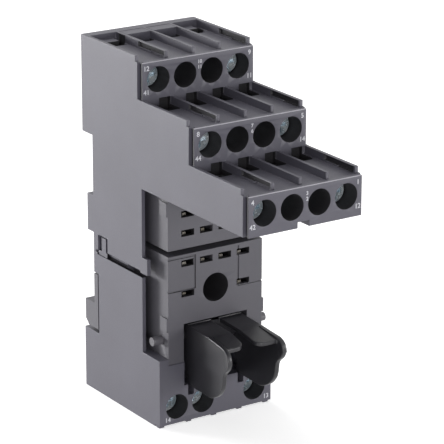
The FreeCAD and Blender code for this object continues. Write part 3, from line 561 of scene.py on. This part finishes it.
@dataclass
class UpperShell:
    """The upper housing with wire entries and flank grooves painted dark as shade, a painted highlight on
    the plates' top edges, and broken edges.
    """

    tiers: tuple[str, ...] = ("common", "make", "break")
    columns: tuple[float, ...] = (-9.375, -3.125, 3.125, 9.375)
    # The housing plastic, then the painted shades and the painted highlight.
    surface_looks: tuple[MouldedPlastic, ...] = (
        HOUSING_PLASTIC, SHADE_PAINTED_PLASTIC, HOLLOW_SHADE_PLASTIC, EDGE_HIGHLIGHT_PLASTIC, SEAM_SHADE_PLASTIC)
    broken_edge: float = 0.07

    # Heights above a tier's screws.
    plate_rise: float = 3.7
    floor_rise: float = 3.3
    rim_rise: float = 4.9
    rim_drop: float = 0.12

    # Wire entries, from a channel's middle, back plane and floor.
    entry_left: float = -0.9
    entry_right: float = 2.75
    entry_front: float = 3.6
    entry_depth: float = 2.2
    entry_under: float = 1.0
    entry_over: float = 0.05
    throat_left: float = 0.2
    throat_front: float = 0.4
    throat_depth: float = 1.0
    throat_rise: float = 1.55

    # The top tier's entries, ledge and pads, from the back of the housing.
    top_back: float = 1.6
    top_ledge: float = 5.3
    top_entry_front: float = 6.9
    ledge_half: float = 6.3
    ledge_drop: float = 0.06
    ledge_depth: float = 3.0
    side_left: float = 1.7
    side_right: float = 3.1
    side_front: float = 0.5
    side_back: float = 1.7
    pad_left: float = -2.9
    pad_right: float = 2.0
    pad_rise: float = 0.5

    # Grooves in the right wall and in the first rib.
    inner: float = 12.7
    rib_left: float = -6.6
    groove: float = 0.5
    groove_length: float = 9.5
    groove_front: float = 2.4
    wall_overlap: float = 0.3
    wall_groove_rise: float = 0.4
    rib_overlap: float = 0.1
    rib_groove_rise: float = 0.45
    rib_groove_drop: float = 0.15

    # The seam below the side walls, and the snap keys' windows.
    seam_low: float = 31.2
    seam_high: float = 31.75
    seam_back: float = 9.3
    seam_front: float = 22.0
    seam_margin: float = 0.1
    tab_width: float = 0.9
    key_back: float = 4.85
    key_front: float = 5.7
    window_bottom: float = 31.36
    window_top: float = 35.0
    window_wall: float = 0.7

    # Faces that count as the plates' sides, which get painted shade, and their top edges, which get a
    # painted highlight.
    plate_half: float = 13.05
    side_near: float = 0.02
    side_facing: float = 0.9
    edge_near: float = 0.2
    edge_facing: float = 0.3

    def levels(self, tier: str) -> tuple[TerminalPlace, float, float]:
        """Read one tier's place, and the heights of its channels' floor and rim."""
        place = TerminalPlace.of(f"screw_{tier}_1")
        return place, place.z + self.floor_rise, place.z + self.rim_rise

    def entries(self, tier: str) -> list[bpy.types.Object]:
        """Make the boxes that cut one tier's wire entries.

        Args:
            tier: The tier's name.

        Returns:
            The boxes.
        """
        place, floor, rim = self.levels(tier)
        bottom, over = floor - self.entry_depth, floor + self.entry_over
        made = []
        for x in self.columns:
            left, right = x + self.entry_left, x + self.entry_right
            if tier != self.tiers[0]:
                made.append(box_tool((left, -(place.back + self.entry_front), bottom),
                                     (right, -(place.back - self.entry_under), over)))
            elif abs(x) < self.ledge_half:
                made.append(box_tool((left, -self.top_entry_front, bottom),
                                     (right, -self.top_ledge, over)))
            else:
                made.append(box_tool(
                    (x + self.side_left, -(self.top_ledge + self.side_front), bottom),
                    (x + self.side_right, -(self.top_back + self.side_back), rim - self.rim_drop)))
        return made

    def throats(self, tier: str) -> list[bpy.types.Object]:
        """Make the boxes that open one tier's entries upwards under the plate behind.

        Args:
            tier: The tier's name.

        Returns:
            The boxes.
        """
        place, floor, _ = self.levels(tier)
        front, back = -(place.back + self.throat_front), -(place.back - self.entry_under)
        return [box_tool((x + self.throat_left, front, floor - self.throat_depth),
                         (x + self.entry_right, back, floor + self.throat_rise))
                for x in self.columns]

    def grooves(self, tier: str) -> list[bpy.types.Object]:
        """Make the boxes that cut one tier's two flank grooves.

        Args:
            tier: The tier's name.

        Returns:
            The boxes for the right wall and the first rib.
        """
        place, floor, rim = self.levels(tier)
        front = place.face - self.groove_front
        back = front - self.groove_length
        return [box_tool((self.inner - self.wall_overlap, -front, floor + self.wall_groove_rise),
                         (self.inner + self.groove, -back, rim - self.rim_drop)),
                box_tool((self.rib_left - self.rib_overlap, -front, floor + self.rib_groove_rise),
                         (self.rib_left + self.groove, -back, rim - self.rib_groove_drop))]

    def ledge(self) -> list[bpy.types.Object]:
        """Make the ledge behind the top tier's two middle channels and the pads beside it.

        Returns:
            The boxes to add.
        """
        _, floor, rim = self.levels(self.tiers[0])
        bottom = floor - self.ledge_depth
        made = [box_tool((-self.ledge_half, -self.top_ledge, bottom),
                         (self.ledge_half, -self.top_back, rim - self.ledge_drop))]
        for x in (self.columns[0], self.columns[-1]):
            made.append(box_tool((x + self.pad_left, -self.top_ledge, bottom),
                                 (x + self.pad_right, -self.top_back, floor + self.pad_rise)))
        return made

    def seams(self) -> list[bpy.types.Object]:
        """Make the boxes that widen the seam below the side walls' front tabs."""
        return [box_tool((low, -self.seam_front, self.seam_low),
                         (low + self.tab_width, -self.seam_back, self.seam_high))
                for low in (-self.inner - self.tab_width, self.inner)]

    def window_ends(self) -> list[bpy.types.Object]:
        """Make the rear ends of the two windows that the snap keys sit in."""
        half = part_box("upper_housing")[1][0] / MM
        return [box_tool((low, -self.key_front, self.window_bottom),
                         (low + self.window_wall, -self.key_back, self.window_top))
                for low in (-half, half - self.window_wall)]

    def paint_shade_and_highlight(self, piece: bpy.types.Object) -> None:
        """Paint shade into the bores, the seam and the plates' sides, and paint a highlight on the plates'
        top edges.

        Args:
            piece: The housing's copy.
        """
        places = [TerminalPlace.of(f"screw_{tier}_1") for tier in self.tiers]
        bores = [[(column, place.z) for column in self.columns] for place in places]
        for face in piece.data.polygons:
            x, y, z = (value / MM for value in face.center)
            sideways = abs(face.normal.x) > self.side_facing
            # The plates' sides: painted shade.
            if sideways and abs(abs(x) - self.plate_half) < self.side_near:
                face.material_index = self.surface_looks.index(HOLLOW_SHADE_PLASTIC)
            # The seam: painted shade.
            if in_seam(face, high=self.seam_high + self.seam_margin):
                face.material_index = self.surface_looks.index(SEAM_SHADE_PLASTIC)
            for place, centres in zip(places, bores):
                behind = place.face + y
                # Inside the bores: painted shade.
                if place.back < -y and in_bore(behind, x, z, centres):
                    face.material_index = self.surface_looks.index(SHADE_PAINTED_PLASTIC)
                above = z - place.z - self.plate_rise
                near_edge = abs(above) < self.edge_near and abs(behind) < self.edge_near
                slanted = face.normal.z > self.edge_facing and face.normal.y < -self.edge_facing
                # The plates' top edges: painted highlight.
                if near_edge and slanted:
                    face.material_index = self.surface_looks.index(EDGE_HIGHLIGHT_PLASTIC)

    def build(self) -> bpy.types.Object:
        """Build the shell in place of the housing's node.

        Returns:
            The shell.
        """
        piece = copy_node("upper_housing", "upper_shell", *self.surface_looks)
        shape(piece, self.ledge() + self.window_ends(), HOUSING_PLASTIC, Change.ADD)
        # Entries, throats, grooves and widened seams: their new faces are painted shade.
        shape(piece, [tool for tier in self.tiers for tool in self.entries(tier)], SHADE_PAINTED_PLASTIC)
        shape(piece, [tool for tier in self.tiers[1:] for tool in self.throats(tier)], SHADE_PAINTED_PLASTIC)
        shape(piece, [tool for tier in self.tiers for tool in self.grooves(tier)], HOLLOW_SHADE_PLASTIC)
        shape(piece, self.seams(), SEAM_SHADE_PLASTIC)
        self.paint_shade_and_highlight(piece)
        soften(piece, self.broken_edge)
        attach(piece, "socket")
        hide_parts("upper_housing")
        log.info("upper shell has %d faces", len(piece.data.polygons))
        return piece


@dataclass
class LowerShell:
    """The lower housing with painted shade in its tool bores and seam, narrow snap keys, feet and broken
    edges.
    """

    screws: tuple[str, ...] = ("screw_coil_1", "screw_coil_2", "screw_coil_3")
    surface_looks: tuple[MouldedPlastic, ...] = (HOUSING_PLASTIC, SHADE_PAINTED_PLASTIC, SEAM_SHADE_PLASTIC)
    broken_edge: float = 0.07
    feet_at: tuple[float, ...] = (-12.85, -6.4, -0.3, 5.9, 12.4)
    foot_height: float = 0.45
    foot_front: float = 0.25
    foot_back: float = 1.5
    foot_half: float = 0.62
    key_cuts: tuple[tuple[float, float], ...] = ((5.2, 6.7), (8.4, 9.1))
    key_low: float = 31.4
    cut_width: float = 0.9
    cut_inside: float = 0.8
    cut_outside: float = 0.1
    cut_over: float = 0.5

    def feet(self, front: float) -> list[bpy.types.Object]:
        """Make the small feet below the front plate, from its place along Y."""
        return [box_tool((x - self.foot_half, front + self.foot_front, 0.0),
                         (x + self.foot_half, front + self.foot_back, self.foot_height))
                for x in self.feet_at]

    def key_gaps(self, half: float) -> list[bpy.types.Object]:
        """Make the boxes that narrow the snap keys, from half the housing's width."""
        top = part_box("lower_housing")[1][2] / MM
        return [box_tool((low, -far, self.key_low), (low + self.cut_width, -near, top + self.cut_over))
                for low in (-half - self.cut_outside, half - self.cut_inside)
                for near, far in self.key_cuts]

    def build(self) -> bpy.types.Object:
        """Build the shell in place of the housing's node.

        Returns:
            The shell.
        """
        piece = copy_node("lower_housing", "lower_shell", *self.surface_looks)
        low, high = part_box("lower_housing")
        front, half = low[1] / MM, high[0] / MM
        shape(piece, self.feet(front), HOUSING_PLASTIC, Change.ADD)
        shape(piece, self.key_gaps(half), HOUSING_PLASTIC)
        places = [TerminalPlace.of(screw) for screw in self.screws]
        centres = [(place.x, place.z) for place in places]
        # Painted shade in the tool bores and in the seam.
        for face in piece.data.polygons:
            x, y, z = (value / MM for value in face.center)
            if in_bore(y - front, x, z, centres):
                face.material_index = self.surface_looks.index(SHADE_PAINTED_PLASTIC)
            elif in_seam(face):
                face.material_index = self.surface_looks.index(SEAM_SHADE_PLASTIC)
        soften(piece, self.broken_edge)
        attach(piece, "socket")
        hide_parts("lower_housing")
        log.info("lower shell has %d faces", len(piece.data.polygons))
        return piece


@dataclass
class SeatShells:
    """The two seats, with painted shade in their slots and hole and on a band along the seam beside them."""

    seats: tuple[str, ...] = ("lower_seat", "upper_seat")
    surface_looks: tuple[MouldedPlastic, ...] = (SEAT_PLASTIC, SHADE_PAINTED_PLASTIC)
    broken_edge: float = 0.05
    inside: float = 0.12
    flat_facing: float = 0.9
    slot_reach: float = 1.96
    slots_above: float = 20.0
    hole_radius: float = 3.05
    seam: tuple[float, float] = (30.4, 31.5)

    def build(self) -> list[bpy.types.Object]:
        """Build both seats in place of their nodes."""
        return [self.seat(node) for node in self.seats]

    def seat(self, node: str) -> bpy.types.Object:
        """Build one seat.

        Args:
            node: The seat's node.

        Returns:
            The seat's shell.
        """
        piece = copy_node(node, node + "_shell", *self.surface_looks)
        low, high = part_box(node)
        if low[2] / MM < self.seam[0] < high[2] / MM:
            bpy.ops.object.mode_set(mode="EDIT")
            for height in self.seam:
                bpy.ops.mesh.select_all(action="SELECT")
                bpy.ops.mesh.bisect(plane_co=(0.0, 0.0, height * MM), plane_no=(0.0, 0.0, 1.0))
            bpy.ops.object.mode_set(mode="OBJECT")
        front, back, side = low[1] / MM, high[1] / MM, high[0] / MM
        for face in piece.data.polygons:
            x, y, z = (value / MM for value in face.center)
            within = front + self.inside < y < back - self.inside and abs(x) < side - self.inside
            wall = within and abs(face.normal.y) < self.flat_facing and self.is_opening(node, x, z)
            band = abs(x) > side - self.inside and self.seam[0] < z < self.seam[1]
            # Faces in the slots and hole, and a band along the seam, are painted shade.
            if wall or band:
                face.material_index = self.surface_looks.index(SHADE_PAINTED_PLASTIC)
        soften(piece, self.broken_edge)
        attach(piece, "socket")
        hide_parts(node)
        log.info("%s has %d faces", piece.name, len(piece.data.polygons))
        return piece

    def is_opening(self, node: str, x: float, z: float) -> bool:
        """Tell whether a place lies in one of the seat's slots or in its hole.

        Args:
            node: The seat's node.
            x: The place along X.
            z: The place along Z.

        Returns:
            True inside an opening.
        """
        if node == "lower_seat" and math.hypot(x, z - self.hole_height()) < self.hole_radius:
            return True
        strips = [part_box(name) for name in frame["nodes"] if name.startswith("strip_")]
        return z > self.slots_above and any(
            abs(x - (low[0] + high[0]) / 2 / MM) < self.slot_reach for low, high in strips)

    def hole_height(self) -> float:
        """Give the height of the hole for the panel screw."""
        return next(mount["pos_m"][2] for mount in frame["record"]["mounts"]
                    if mount["name"] == "panel_screw_hole") / MM


@dataclass
class CoilScrew:
    """The middle coil screw, with its head as far forward as its neighbours'."""

    node: str = "screw_coil_2"
    model: str = "screw_coil_1"
    head_depth: float = 2.0
    sharp_turn: float = 35.0

    def build(self) -> bpy.types.Object:
        """Build the screw in place of its node.

        Returns:
            The screw.
        """
        piece = copy_node(self.node, "coil_screw", METALS[MetalLook.ZINC])
        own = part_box(self.node)[0][1]
        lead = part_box(self.model)[0][1] - own
        bpy.ops.object.mode_set(mode="EDIT")
        bpy.context.tool_settings.mesh_select_mode = (True, False, False)
        bpy.ops.mesh.select_all(action="DESELECT")
        bpy.ops.object.mode_set(mode="OBJECT")
        for vertex in piece.data.vertices:
            vertex.select = vertex.co.y < own + self.head_depth * MM
        bpy.ops.object.mode_set(mode="EDIT")
        bpy.ops.transform.translate(value=(0.0, lead, 0.0))
        bpy.ops.object.mode_set(mode="OBJECT")
        bpy.ops.object.shade_smooth_by_angle(angle=math.radians(self.sharp_turn))
        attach(piece, "screw_coil_2")
        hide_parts(self.node)
        log.info("coil screw's head moved %.2f mm", lead / MM)
        return piece


@dataclass
class EjectorLever:
    """The lever with rounded outlines and side plates that flare to the front."""

    corner: float = 1.1
    lobe: float = 2.3
    round_faces: int = 6
    broken_edge: float = 0.16
    edge_faces: int = 3
    near: float = 0.01

    # The side plates, which are rounded and flare to the front.
    plate_inside: float = 5.3
    plate_front: float = 30.0
    short_edge: float = 1.2
    sharp_turn: float = 12.0
    flare: float = 0.5
    flare_start: float = 34.0
    flare_length: float = 10.0
    cut_step: float = 1.2
    cuts: int = 8

    # The split top.
    gap_half: float = 1.1
    gap_front: float = 39.0
    tab_margin: float = 0.3
    tab_near: tuple[float, float] = (0.06, 0.08)
    nose: float = 42.0
    left_setback: float = 0.6
    left_narrowing: float = 0.25
    side_near: float = 0.1
    lobe_front: float = 41.4
    lobe_margin: float = 0.05
    lobe_near: float = 0.1
    lobe_height: float = 0.3

    # Old and new places of the tabs' corners along Y and Z.
    tab_moves: tuple[tuple[float, float, float, float], ...] = (
        (-40.2, 19.525, -39.3, 20.0),
        (-42.1, 18.85, -42.3, 19.45),
        (-40.2, 18.4, -39.3, 19.15),
        (-41.2, 17.5, -39.8, 19.07),
        (-42.1, 17.5, -42.3, 18.65),
    )

    def along_x(self, piece: bpy.types.Object) -> None:
        """Select the side plates' short sharp edges that run along X.

        Args:
            piece: The lever.
        """
        mesh = piece.data
        sides: dict[tuple[int, int], list[bpy.types.MeshPolygon]] = {}
        for face in mesh.polygons:
            for key in face.edge_keys:
                sides.setdefault(key, []).append(face)
        for edge in mesh.edges:
            a, b = (mesh.vertices[i].co for i in edge.vertices)
            faces = sides.get(tuple(sorted(edge.vertices)), [])
            level = math.hypot(a.y - b.y, a.z - b.z) < self.near * MM
            turn = faces[0].normal.angle(faces[1].normal) if len(faces) == 2 else 0.0
            sharp = turn > math.radians(self.sharp_turn)
            middle = (a + b) / 2 / MM
            on_plate = abs(middle.x) > self.plate_inside and (a - b).length < self.short_edge * MM
            edge.select = level and on_plate and sharp and middle.y < -self.plate_front

    def lift_tabs(self, piece: bpy.types.Object) -> None:
        """Lift the front ends of the two tabs and take off their lips.

        Args:
            piece: The lever.
        """
        for vertex in piece.data.vertices:
            x, y, z = (value / MM for value in vertex.co)
            if abs(x) > self.plate_inside + self.tab_margin:
                continue
            for old_y, old_z, new_y, new_z in self.tab_moves:
                if abs(y - old_y) < self.tab_near[0] and abs(z - old_z) < self.tab_near[1]:
                    shift = self.left_setback if x < 0.0 and y < -self.nose else 0.0
                    vertex.co.y, vertex.co.z = (new_y + shift) * MM, new_z * MM
                    if x < 0.0 and abs(x) < self.gap_half + self.side_near and y < -self.gap_front:
                        vertex.co.x -= self.left_narrowing * MM

    def lobes(self, piece: bpy.types.Object) -> None:
        """Select the upright edges at the front inner corners of the split top.

        Args:
            piece: The lever.
        """
        reach = self.left_narrowing + self.lobe_margin
        for edge in piece.data.edges:
            a, b = (piece.data.vertices[i].co / MM for i in edge.vertices)
            inside = abs(abs(a.x) - self.gap_half) < reach and abs(a.x - b.x) < self.near
            upright = abs(a.y - b.y) < self.lobe_near and abs(a.z - b.z) > self.lobe_height
            edge.select = inside and upright and a.y < -self.lobe_front

    def bevel(self, piece: bpy.types.Object, pick: Callable[[bpy.types.Object], None],
              offset: float) -> None:
        """Round the edges that a method picks.

        Args:
            piece: The lever.
            pick: The method that selects the edges.
            offset: Size of the rounding in millimetres.
        """
        put_in_hand(piece)
        bpy.ops.object.mode_set(mode="EDIT")
        bpy.context.tool_settings.mesh_select_mode = (False, True, False)
        bpy.ops.mesh.select_all(action="DESELECT")
        bpy.ops.object.mode_set(mode="OBJECT")
        pick(piece)
        log.info("%d edges of the lever rounded", sum(edge.select for edge in piece.data.edges))
        bpy.ops.object.mode_set(mode="EDIT")
        bpy.ops.mesh.bevel(offset=offset * MM, segments=self.round_faces, affect="EDGES", clamp_overlap=True)
        bpy.ops.object.mode_set(mode="OBJECT")

    def build(self) -> bpy.types.Object:
        """Build the lever in place of its node.

        Returns:
            The lever.
        """
        piece = copy_node("ejector_lever", "lever", LEVER_PLASTIC)
        self.lift_tabs(piece)
        self.bevel(piece, self.along_x, self.corner)
        self.bevel(piece, self.lobes, self.lobe)
        bpy.ops.object.mode_set(mode="EDIT")
        for step in range(1, self.cuts + 1):
            depth = self.flare_start + step * self.cut_step
            bpy.ops.mesh.select_all(action="SELECT")
            bpy.ops.mesh.bisect(plane_co=(0.0, -depth * MM, 0.0), plane_no=(0.0, 1.0, 0.0))
        bpy.ops.object.mode_set(mode="OBJECT")
        for vertex in piece.data.vertices:
            reach = -vertex.co.y / MM - self.flare_start
            if reach > 0 and abs(vertex.co.x) / MM > self.plate_inside:
                outwards = self.flare * (reach / self.flare_length) ** 2 * MM
                vertex.co.x += math.copysign(outwards, vertex.co.x)
        soften(piece, self.broken_edge, self.edge_faces)
        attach(piece, "lever")
        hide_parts("ejector_lever")
        log.info("lever has %d faces", len(piece.data.polygons))
        return piece


@dataclass
class Housings:
    """The two housing halves, the relay seats and the rail latch."""

    plastics: dict[str, MouldedPlastic] = field(default_factory=lambda: {
        "upper_housing": HOUSING_PLASTIC,
        "lower_housing": HOUSING_PLASTIC,
        "upper_seat": SEAT_PLASTIC,
        "lower_seat": SEAT_PLASTIC,
        "rail_latch": LATCH_PLASTIC,
        "ejector_lever": LEVER_PLASTIC,
        "lever_axle": AXLE_PLASTIC,
    })

    def dress(self) -> None:
        """Put the plastics on their nodes."""
        for node, plastic in self.plastics.items():
            put_on(node, plastic)
            log.info("%s wears %s", node, plastic.name)


@dataclass
class Terminals:
    """The screws, rising clamps and contact strips."""

    metal_looks: dict[str, MetalLook] = field(default_factory=lambda: {
        "screw_": MetalLook.ZINC,
        # The clamps wear zinc darkened as painted shade.
        "clamp_": MetalLook.DULL_ZINC,
        "strip_": MetalLook.TIN,
    })

    def dress(self) -> None:
        """Put the plating on every metal node; the clamps' zinc is darkened as painted shade."""
        for node in frame["nodes"]:
            for start, metal_look in self.metal_looks.items():
                if node.startswith(start):
                    put_on(node, METALS[metal_look])


@dataclass
class PrintedNumber:
    """One number printed on a front face."""

    text: str
    x: float
    z: float
    height: float = 0.95
    cap_share: float = 0.7
    thickness: float = 0.01
    weight: float = 0.025
    lift: float = 0.012

    def make(self, name: str, face_y: float) -> bpy.types.Object:
        """Print the number as a thin mesh on the face.

        Args:
            name: The piece's name.
            face_y: The face's place along Y, in millimetres.

        Returns:
            The printed number.
        """
        deselect()
        bpy.ops.object.text_add(location=(0.0, 0.0, 0.0))
        piece = bpy.context.object
        piece.data.body = self.text
        piece.data.align_x = "CENTER"
        piece.data.align_y = "CENTER"
        piece.data.size = self.height / self.cap_share * MM
        piece.data.extrude = self.thickness * MM
        piece.data.offset = self.weight * MM
        piece.rotation_euler = (math.radians(90.0), 0.0, 0.0)
        piece.location = (self.x * MM, (face_y - self.lift) * MM, self.z * MM)
        bpy.ops.object.convert(target="MESH")
        bpy.ops.object.transform_apply(location=True, rotation=True, scale=True)
        piece = bpy.context.object
        piece.name = name
        piece.data.materials.clear()
        piece.data.materials.append(NUMBER_INK.material())
        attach(piece, "socket")
        return piece


@dataclass
class FaceNumbers:
    """The numbers of the tiers and the coil block, placed from the frame."""

    # Each tier's upper left, lower left, upper right and lower right numbers, and its small pair.
    tiers: tuple[tuple[str, tuple[str, ...], tuple[str, ...]], ...] = (
        ("common", ("12", "41", "9", "11"), ("10", "11")),
        ("make", ("8", "44", "5", "14"), ("7", "6")),
        ("break", ("4", "42", "1", "12"), ("3", "2")),
    )
    side_x: float = 12.1
    rise: float = 2.4
    middle_x: float = 0.3
    middle_rise: float = 2.2
    middle_step: float = 1.1
    middle_height: float = 0.72
    coil: tuple[tuple[str, float, float], ...] = (("14", -11.6, 1.45), ("13", 12.3, 1.5))

    def tier(self, name: str, corners: tuple[str, ...], middle: tuple[str, ...]) -> None:
        """Print one tier's numbers round its tool holes.

        Args:
            name: The tier's name.
            corners: The numbers in its corners.
            middle: The small pair in the middle.
        """
        place = TerminalPlace.of(f"screw_{name}_1")
        spots = ((-self.side_x, self.rise), (-self.side_x, -self.rise),
                 (self.side_x, self.rise), (self.side_x, -self.rise))
        for number, (text, (x, rise)) in enumerate(zip(corners, spots), start=1):
            PrintedNumber(text, x, place.z + rise).make(f"number_{name}_{number}", -place.face)
        for number, text in enumerate(middle, start=1):
            z = place.z + self.middle_rise - self.middle_step * (number - 1)
            small = PrintedNumber(text, self.middle_x, z, self.middle_height)
            small.make(f"number_{name}_middle_{number}", -place.face)
        log.info("numbers printed on the %s tier", name)

    def block(self) -> None:
        """Print the coil block's numbers."""
        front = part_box("lower_housing")[0][1] / MM
        for number, (text, x, z) in enumerate(self.coil, start=1):
            PrintedNumber(text, x, z).make(f"number_coil_{number}", front)
        log.info("numbers printed on the coil block")

    def print_all(self) -> None:
        """Print every face."""
        for name, corners, middle in self.tiers:
            self.tier(name, corners, middle)
        self.block()


@dataclass(frozen=True)
class SoftLamp:
    """A square soft lamp: its place and edge in metres and its power in watts."""

    name: str
    place: Point
    edge: float
    power: float


def direct_view(sheet: NodeSheet) -> bpy.types.NodeSocket:
    """Add the test for rays from the camera, a reflection or clear material.

    Args:
        sheet: The node tree's sheet.

    Returns:
        An output that is 1 for such rays.
    """
    path = sheet.add("ShaderNodeLightPath").outputs
    seen = sheet.combine("MAXIMUM", path["Is Camera Ray"], path["Is Glossy Ray"])
    return sheet.combine("MAXIMUM", seen, path["Is Transmission Ray"])


@dataclass
class Studio:
    """Pale floor, soft light and the photograph's camera."""

    eye: Point = (-0.264065, -0.429540, 0.200336)
    turn: Point = (71.6769, -0.1158, -33.5012)
    lens: float = 205.984
    sight: tuple[float, float] = (0.05, 20.0)
    floor_size: float = 6.0
    floor_tone: Colour = (0.9, 0.9, 0.9)
    floor_roughness: float = 0.9
    floor_glow: float = 0.6
    sky: float = 0.34
    middle: Point = (0.0, -0.02, 0.04)
    lamps: tuple[SoftLamp, ...] = (
        SoftLamp("rear_lamp", (-0.82, 1.16, 0.10), 0.38, 25.0),
        SoftLamp("top_lamp", (-0.05, 0.55, 0.75), 0.5, 3.2),
        SoftLamp("front_lamp", (0.60, -0.65, 0.16), 0.35, 2.5),
        SoftLamp("near_lamp", (-0.22, -0.80, 0.14), 0.16, 1.9),
    )

    def floor(self) -> None:
        """Lay the pale floor, white to the camera where it isn't in shadow."""
        deselect()
        bpy.ops.mesh.primitive_plane_add(size=self.floor_size, location=(0.0, 0.0, 0.0))
        floor = bpy.context.object
        floor.name = "floor"
        made = bpy.data.materials.new("Pale floor")
        made.use_nodes = True
        sheet = NodeSheet(made.node_tree)
        shader = made.node_tree.nodes["Principled BSDF"]
        shader.inputs["Base Color"].default_value = (*self.floor_tone, 1.0)
        shader.inputs["Roughness"].default_value = self.floor_roughness
        shader.inputs["Emission Color"].default_value = WHITE
        glow = sheet.combine("MULTIPLY", direct_view(sheet), self.floor_glow)
        sheet.join(glow, shader.inputs["Emission Strength"])
        floor.data.materials.append(made)

    def world(self) -> None:
        """Surround the socket with white that only the camera and reflections see in full."""
        world = bpy.data.worlds.new("Studio")
        bpy.context.scene.world = world
        world.use_nodes = True
        sheet = NodeSheet(world.node_tree)
        back = world.node_tree.nodes["Background"]
        sheet.join(sheet.ramp(direct_view(sheet), 0.0, 1.0, self.sky, 1.0), back.inputs["Strength"])
        back.inputs["Color"].default_value = WHITE

    def hang(self, lamp: SoftLamp) -> None:
        """Hang one soft lamp and turn it to the socket.

        Args:
            lamp: The lamp.
        """
        deselect()
        bpy.ops.object.light_add(type="AREA", location=lamp.place)
        made = bpy.context.object
        made.name = lamp.name
        made.data.size = lamp.edge
        made.data.energy = lamp.power
        x, y, z = (aim - start for aim, start in zip(self.middle, lamp.place))
        made.rotation_euler = (math.atan2(math.hypot(x, y), -z), 0.0, math.atan2(y, x) - math.pi / 2)

    def camera(self) -> None:
        """Set the camera where the photograph was taken from."""
        deselect()
        bpy.ops.object.camera_add(location=self.eye, rotation=[math.radians(a) for a in self.turn])
        camera = bpy.context.object
        camera.name = "camera"
        camera.data.lens = self.lens
        camera.data.clip_start, camera.data.clip_end = self.sight
        bpy.context.scene.camera = camera

    def build(self) -> None:
        """Build the whole studio."""
        self.floor()
        self.world()
        for lamp in self.lamps:
            self.hang(lamp)
        self.camera()
        bpy.context.scene.view_settings.view_transform = "Standard"


def main() -> None:
    """Dress the socket, print its numbers and set up the studio."""
    logging.basicConfig(level=logging.INFO)
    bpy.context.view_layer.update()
    Housings().dress()
    UpperShell().build()
    LowerShell().build()
    SeatShells().build()
    CoilScrew().build()
    EjectorLever().build()
    Terminals().dress()
    FaceNumbers().print_all()
    Studio().build()


if __name__ == "__main__":
    main()
